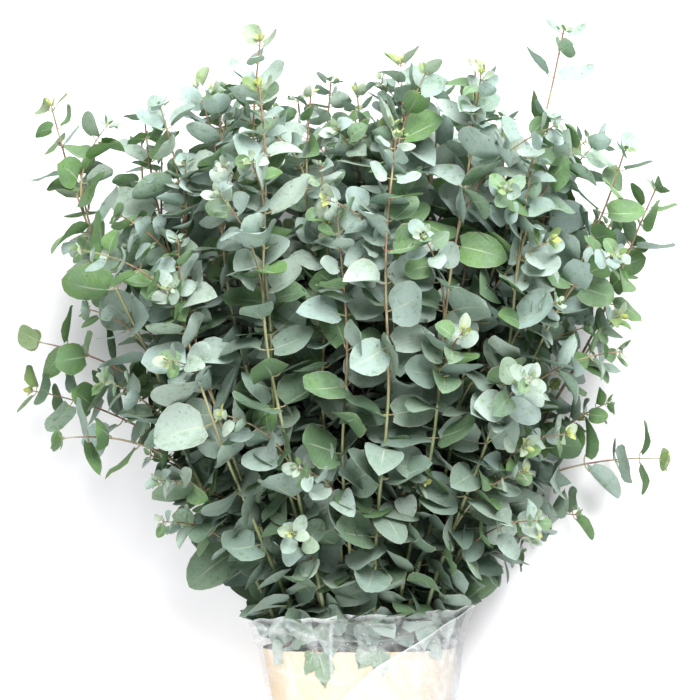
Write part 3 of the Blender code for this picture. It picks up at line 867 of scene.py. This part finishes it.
# pulled tight, the band runs from one outer stem straight to the next: its reach at each angle
stems_there = np.array([branch.point(TIE_Y) for branch in branches])[:, [0, 2]]
tie_middle = stems_there.mean(axis=0)
facing = np.radians(np.arange(0, 360, 1.5))
facing_lines = np.stack([np.cos(facing), np.sin(facing)])
touching = ((stems_there - tie_middle) @ facing_lines).max(axis=0) + STEM_R_CUT + RUBBER_WALL / 2
turns = []
for turn in (-1, 0, 1):
    def strand(share, row, turn=turn):
        angle = 2 * math.pi * share
        askew = 0.0004 * math.sin(angle + 2.1 * turn)
        y = TIE_Y + turn * TURN_PITCH + askew + (row - 0.5) * TURN_WIDTH
        slant = np.cos(angle - facing)
        reach = float((touching[slant > 0.3] / slant[slant > 0.3]).min()) + 0.0002
        x, z = tie_middle + reach * np.array((math.cos(angle), math.sin(angle)))
        return Vector((x, SHIFT.y + y, z))

    one = round_bundle(f"rubber_turn_{turn}", 144, 1, strand, RUBBER_WALL)
    soften = one.modifiers.new("round edges", "BEVEL")
    soften.width, soften.segments = 0.0005, 2
    bpy.ops.object.modifier_apply(modifier=soften.name)
    turns.append(one)

paint = Paint("tan rubber")
place = paint.node("TexCoord", outlet=3)
dust = paint.noise(place, 700.0, 3)
colour = paint.mix(dust.ramp(0.35, 0.7), (0.46, 0.27, 0.12), (0.56, 0.36, 0.18))
bump = paint.node("Bump", Strength=0.3, Distance=0.0002, Height=dust)
rubber = paint.finish(
    paint.node("BsdfPrincipled", Base_Color=colour, Roughness=0.5 + dust * 0.2, Normal=bump)
)
tie = joined(turns, "rubber_tie", rubber)
bpy.ops.object.shade_smooth_by_angle(angle=math.radians(40))
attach(tie, "root")
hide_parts("tie_band")

# ---- Card wrap -----------------------------------------------------------------------------------------
# A sleeve of corrugated kraft card round the stems: an outer and an inner liner glued to a fluted core,
# whose flutes run along the stems. It closes with a glued flap on the upper side.
FLUTES, STEPS_PER_FLUTE, WRAP_ROWS = 64, 8, 6
LINER, CORE = 0.00035, 0.00022
FLAP_MIDDLE, FLAP_HALF, FLAP_STEP = 0.306, 0.0105, 0.0005
FLUTE_SHADOW = 0.00007


def wrap_y(row):
    return WRAP_LOW_Y + (WRAP_TOP_Y - WRAP_LOW_Y) * row


def outer_liner(share, row):
    flap = FLAP_STEP if abs(share - FLAP_MIDDLE) < FLAP_HALF else 0
    telegraph = FLUTE_SHADOW * math.cos(2 * math.pi * FLUTES * share)
    return loop_place(angle_at(share), wrap_y(row), WRAP_GAP + WRAP_WALL - LINER + flap + telegraph)


def inner_liner(share, row):
    return loop_place(angle_at(share), wrap_y(row), WRAP_GAP + LINER / 2)


def fluted_core(share, row):
    middle = WRAP_GAP + LINER + (WRAP_WALL - 3 * LINER) / 2
    depth = (WRAP_WALL - 3 * LINER) / 2 - CORE
    wave = depth * math.cos(2 * math.pi * FLUTES * share)
    return loop_place(angle_at(share), wrap_y(row), middle + wave)


layers = [
    round_bundle("card_outer_liner", FLUTES * STEPS_PER_FLUTE, WRAP_ROWS, outer_liner, LINER),
    round_bundle("card_fluted_core", FLUTES * STEPS_PER_FLUTE, WRAP_ROWS, fluted_core, CORE),
    round_bundle("card_inner_liner", FLUTES * 2, WRAP_ROWS, inner_liner, LINER),
]
paint = Paint("kraft card")
place = paint.node("TexCoord", outlet=3)
fibres = paint.noise(paint.node("Mapping", Vector=place, Scale=(0.35, 1, 1)), 900.0, 4, 0.6)
patches = paint.noise(place, 35.0, 3)
colour = paint.mix(fibres.ramp(0.35, 0.68), (0.60, 0.48, 0.31), (0.72, 0.60, 0.43))
colour = paint.mix(patches.ramp(0.35, 0.7) * 0.5, colour, (0.75, 0.65, 0.49))
colour = paint.mix(paint.noise(place, 1500.0, 1).ramp(0.66, 0.72) * 0.5, colour, (0.36, 0.25, 0.15))
bump = paint.node("Bump", Strength=0.25, Distance=0.0002, Height=fibres)
card = paint.finish(
    paint.node("BsdfPrincipled", Base_Color=colour, Roughness=0.82 + patches * 0.12, Normal=bump)
)
wrap = joined(layers, "corrugated_wrap", card)
bpy.ops.object.shade_smooth_by_angle(angle=math.radians(25))
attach(wrap, "root")
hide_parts("card_wrap")

# ---- Sleeve --------------------------------------------------------------------------------------------
# One sheet of clear perforated film rolled round card and leaves, a turn and a bit more, so that it lies
# double on the upper right, where its free edge runs aslant. It is creased, and crumpled at its top.
SHEET_START, SHEET_COLUMNS, SHEET_ROWS = -0.17, 300, 70
FILM_WALL, FLAP_GAP = 0.00012, 0.0016
FREE_EDGE = ((-0.102, 1.43), (-0.05, 1.37), (0.0, 1.285), (0.03, 1.215), (0.085, 1.03))  # y, turns
CREASES, CREASE_HEIGHT, CREASE_HIGHLIGHT, CREASE_BLUR = 6, 0.0006, 0.07, 0.0060
# folds that stand up from the film: both ends as x, y, then height, width and the painted highlight along the
# fold
FOLDS = (
    ((-0.0185, 0.074), (-0.0195, 0.045), 0.0018, 0.0018, 0.34),
    ((-0.0195, 0.045), (-0.0175, 0.012), 0.0018, 0.0016, 0.40),
    ((0.020, 0.044), (0.112, 0.084), 0.0022, 0.0055, 0.12),
    ((-0.0185, 0.052), (-0.064, 0.072), 0.0012, 0.0022, 0.20),
    ((-0.070, 0.078), (-0.098, 0.052), 0.0014, 0.0030, 0.30),
    ((-0.098, 0.074), (-0.066, 0.066), 0.0014, 0.0030, 0.30),
    ((-0.086, 0.024), (-0.004, 0.011), 0.0010, 0.0018, 0.10),
    ((0.104, 0.070), (0.092, 0.026), 0.0010, 0.0024, 0.14),
)
chance = random.Random(61)
crease_set = [
    (chance.uniform(0.030, 0.085), math.radians(chance.uniform(-75, 75)), chance.random())
    for _ in range(CREASES)
]


def film_place(across, up):
    """Where the film's point at these two shares lies, and its painted highlight on creases, folds and edges.
    """
    y = SLEEVE_LOW_Y + (SLEEVE_TOP_Y - SLEEVE_LOW_Y) * up
    end = float(np.interp(y, [row[0] for row in FREE_EDGE], [row[1] for row in FREE_EDGE]))
    turn = SHEET_START + (end - SHEET_START) * across
    s = turn * GIRTH
    relief, highlight = 0.0, 0.0
    for length, heading, phase in crease_set:
        warp = 0.10 * math.sin(s / 0.031 + 5 * phase) + 0.08 * math.sin(y / 0.027 + 9 * phase)
        p = (s * math.cos(heading) + y * math.sin(heading)) / length + phase + warp
        tooth = abs(2 * (p - math.floor(p)) - 1)
        relief += tooth * CREASE_HEIGHT
        # painted highlight along each crease's ridge
        highlight = max(highlight, CREASE_HIGHLIGHT * max(0.0, 1 - (1 - tooth) * length / CREASE_BLUR))
    outer = ease(turn, 0.80, 0.86)
    share_up = ease(up, 0.78, 1.0)
    relief += outer * FLAP_GAP
    ruffle = 0.0013 * math.sin(s / 0.0085) + 0.0011 * math.sin(s / 0.0037 + 1.3 * math.sin(s / 0.03))
    ruffle *= share_up
    at_top = ease(y, 0.03, SLEEVE_TOP_Y)
    base = loop_place(angle_at(turn), y, FILM_GAP + relief, SLEEVE_FLARE * at_top)
    x = base.x - SHIFT.x
    front = base.z > SHIFT.z + section_at(y)[3]
    if front:
        for (x0, y0), (x1, y1), height, width, fold_highlight in FOLDS:
            along_fold = ((x - x0) * (x1 - x0) + (y - y0) * (y1 - y0)) / ((x1 - x0) ** 2 + (y1 - y0) ** 2)
            along_fold = min(max(along_fold, 0), 1)
            away = math.hypot(x - x0 - along_fold * (x1 - x0), y - y0 - along_fold * (y1 - y0))
            bump_here = math.exp(-((away / width) ** 2))
            relief += height * bump_here
            # painted highlight along the fold's ridge
            highlight = max(highlight, fold_highlight * bump_here)
        base = loop_place(angle_at(turn), y, FILM_GAP + relief, SLEEVE_FLARE * at_top)
    tilt = (SLEEVE_TILT * x + ruffle) * at_top
    # painted highlights along the film's top edge and its free edge
    highlight = max(highlight, 0.36 * ease(up, 0.97, 1.0), 0.40 * ease(across, 0.993, 1.0))
    point = base + Vector((0, tilt, ruffle * 0.5))
    point.z = max(point.z, FLOOR_GAP + 0.0006 * (1 - outer))
    return point, highlight, outer, s, y


bpy.ops.object.select_all(action="DESELECT")
bpy.ops.mesh.primitive_grid_add(x_subdivisions=SHEET_COLUMNS, y_subdivisions=SHEET_ROWS, size=2)
sheet = bpy.context.object
sheet.name = "film_sleeve"
mesh = sheet.data
measures = np.zeros((len(mesh.vertices), 4))
for vertex in mesh.vertices:
    vertex.co, *measures[vertex.index] = film_place((vertex.co.x + 1) / 2, (vertex.co.y + 1) / 2)
corner_points = np.zeros(len(mesh.loops), np.int32)
mesh.loops.foreach_get("vertex_index", corner_points)
while mesh.uv_layers:
    mesh.uv_layers.remove(mesh.uv_layers[0])
film_map = mesh.uv_layers.new(name="film")
film_map.uv.foreach_set("vector", measures[corner_points, 2:4].astype(np.float32).ravel())
highlight_map = mesh.uv_layers.new(name="crease")
highlight_map.uv.foreach_set("vector", measures[corner_points, 0:2].astype(np.float32).ravel())
thicken = sheet.modifiers.new("film", "SOLIDIFY")
thicken.thickness, thicken.offset = FILM_WALL, 0
bpy.ops.object.modifier_apply(modifier=thicken.name)

paint = Paint("clear film")
place = paint.node("TexCoord", outlet=3)
highlight_uv, film_uv = paint.node("UVMap", {"uv_map": "crease"}), paint.node("UVMap", {"uv_map": "film"})
crease, double = (paint.node("SeparateXYZ", Vector=highlight_uv, outlet=k) for k in (0, 1))
u, v = (paint.node("SeparateXYZ", Vector=film_uv, outlet=k) for k in (0, 1))
HOLE_PITCH, HOLE_R = 0.0095, 0.00052
row_number = (v * (1 / HOLE_PITCH)).math("FLOOR")
hole_x = ((u * (1 / HOLE_PITCH) + row_number * 0.5).math("FRACT") - 0.5) * HOLE_PITCH
hole_y = ((v * (1 / HOLE_PITCH)).math("FRACT") - 0.5) * HOLE_PITCH
holes = (hole_x * hole_x + hole_y * hole_y).math("SQRT").ramp(HOLE_R * 1.25, HOLE_R * 0.75)
haze = paint.noise(place, 28.0, 4, 0.6)
sheen = paint.noise(paint.node("Mapping", Vector=place, Rotation=(0, 0, -0.6), Scale=(1, 0.4, 1)), 46.0, 2)
scratched = paint.node("Mapping", Vector=place, Rotation=(0, 0, 0.5), Scale=(1, 0.2, 1))
scratches = paint.noise(scratched, 260.0, 3)
milky = double * (0.06 + haze.ramp(0.40, 0.65) * 0.16)
# opacity: painted highlights on creases, folds and edges, painted sheen in long streaks, milky doubled film,
# hole rims
clear = 0.035 + sheen.ramp(0.52, 0.72) * 0.16 + milky + crease * 0.80 + holes * 0.34
clear = (clear + scratches.ramp(0.62, 0.82) * 0.05).math("MINIMUM", 0.92)
film = paint.finish(
    paint.node(
        "BsdfPrincipled", Base_Color=(0.88, 0.91, 0.90, 1), Roughness=0.10 + haze * 0.12, Alpha=clear,
        Specular_IOR_Level=0.6,
    )
)
sleeve = joined([sheet], "film_sleeve", film)
bpy.ops.object.shade_smooth_by_angle(angle=math.radians(35))
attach(sleeve, "root")
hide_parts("sleeve")

# ---- Stage ---------------------------------------------------------------------------------------------
# A plain pale floor, soft light from a large lamp above the tips and a weaker one past the cut ends, and
# the camera looking straight down on the lying bunch.
WORLD_STRENGTH, LAMP_COLOUR = 0.365, (0.975, 0.965, 1.0)
bpy.ops.object.select_all(action="DESELECT")
bpy.ops.mesh.primitive_plane_add(size=40, location=(0, 0, 0))
floor = bpy.context.object
floor.name = "floor"
paint = Paint("pale floor")
floor.data.materials.append(
    paint.finish(paint.node("BsdfPrincipled", Base_Color=(0.93, 0.93, 0.93, 1), Roughness=0.9))
)

world = bpy.data.worlds.new("studio")
bpy.context.scene.world = world
world.use_nodes = True
world.node_tree.nodes["Background"].inputs["Color"].default_value = (1.0, 1.0, 1.0, 1)
world.node_tree.nodes["Background"].inputs["Strength"].default_value = WORLD_STRENGTH
for name, place, aim, size, power in (
    ("top_light", (0.41, 1.36, 1.50), (0, 0.08, 0.1), 1.4, 97),
    ("fill_light", (-0.45, -1.25, 1.5), (0, -0.1, 0.1), 1.5, 35),
):
    lamp = bpy.data.lights.new(name, "AREA")
    lamp.size, lamp.energy, lamp.color = size, power, LAMP_COLOUR
    made = bpy.data.objects.new(name, lamp)
    made.location = place
    made.rotation_mode = "QUATERNION"
    made.rotation_quaternion = (Vector(aim) - Vector(place)).to_track_quat("-Z", "Y")
    bpy.context.scene.collection.objects.link(made)

CAMERA_HEIGHT, VIEW_SIDE, MIDDLE_Z = 2.6, 0.700, 0.14
camera = bpy.data.cameras.new("camera")
camera.sensor_width = 36
camera.lens = 36 * (CAMERA_HEIGHT - MIDDLE_Z) / VIEW_SIDE
eye = bpy.data.objects.new("camera", camera)
eye.location = (SHIFT.x, SHIFT.y + VIEW_SIDE / 2, CAMERA_HEIGHT)
bpy.context.scene.collection.objects.link(eye)
bpy.context.scene.camera = eye
bpy.context.scene.view_settings.view_transform = "Standard"
